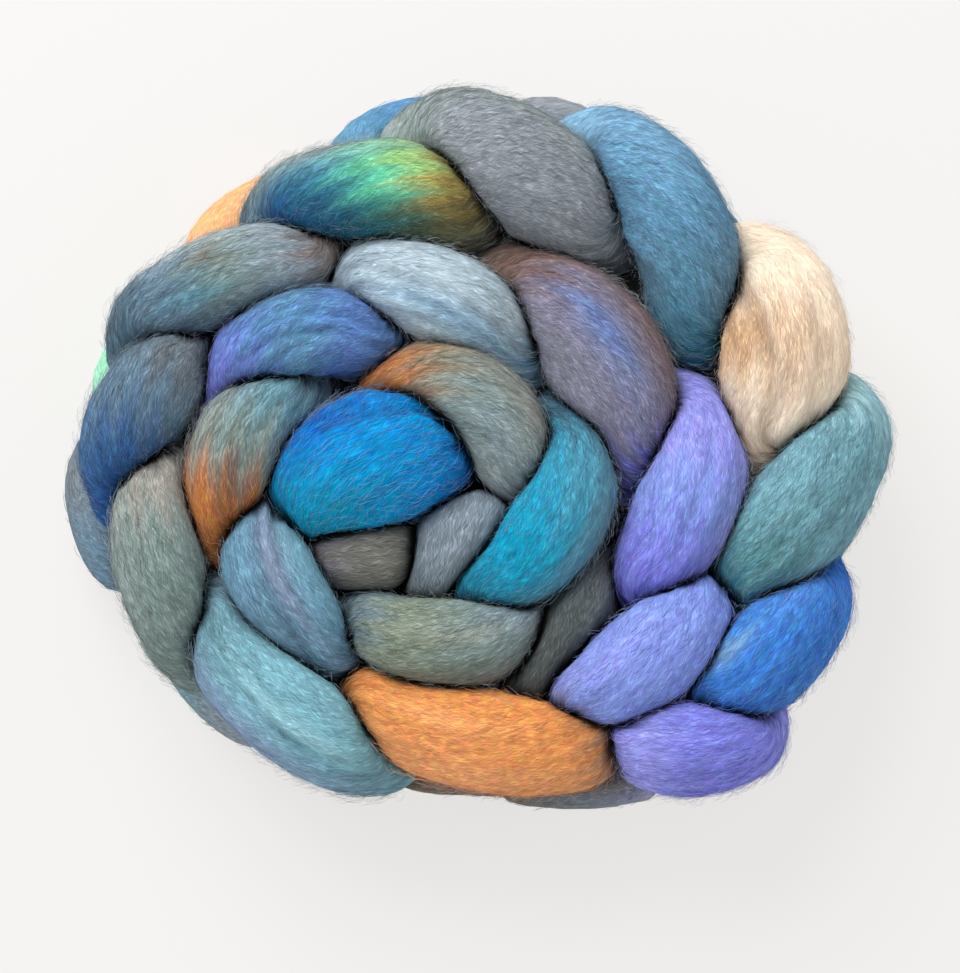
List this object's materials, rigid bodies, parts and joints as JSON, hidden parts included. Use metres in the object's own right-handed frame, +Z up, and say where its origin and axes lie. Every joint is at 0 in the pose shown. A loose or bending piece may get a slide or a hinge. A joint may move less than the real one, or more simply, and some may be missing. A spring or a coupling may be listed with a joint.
{
  "type": "coiled plait of wool roving",
  "caption": "Dyed wool roving plaited in three strands, stood on its edge and wound into a thick, low round coil of plump overlapping lobes.",
  "frame": {"origin": "middle of the coil's outline, on the surface that it lies on", "axes": "+Z up through the coil's thickness, +X to the viewer's right and +Y away from the viewer, whose side is the one where the outer end of the plait is tucked in"},
  "size_m": [0.2272, 0.2079, 0.0733],
  "materials": {
    "dyed_wool": "soft combed wool, matt with a faint sheen along its fibres, dyed in blended blues, teals, violets, sage, tan and orange"
  },
  "bodies": {
    "root": {"wool_roving": "dyed_wool"}
  },
  "joints": []
}
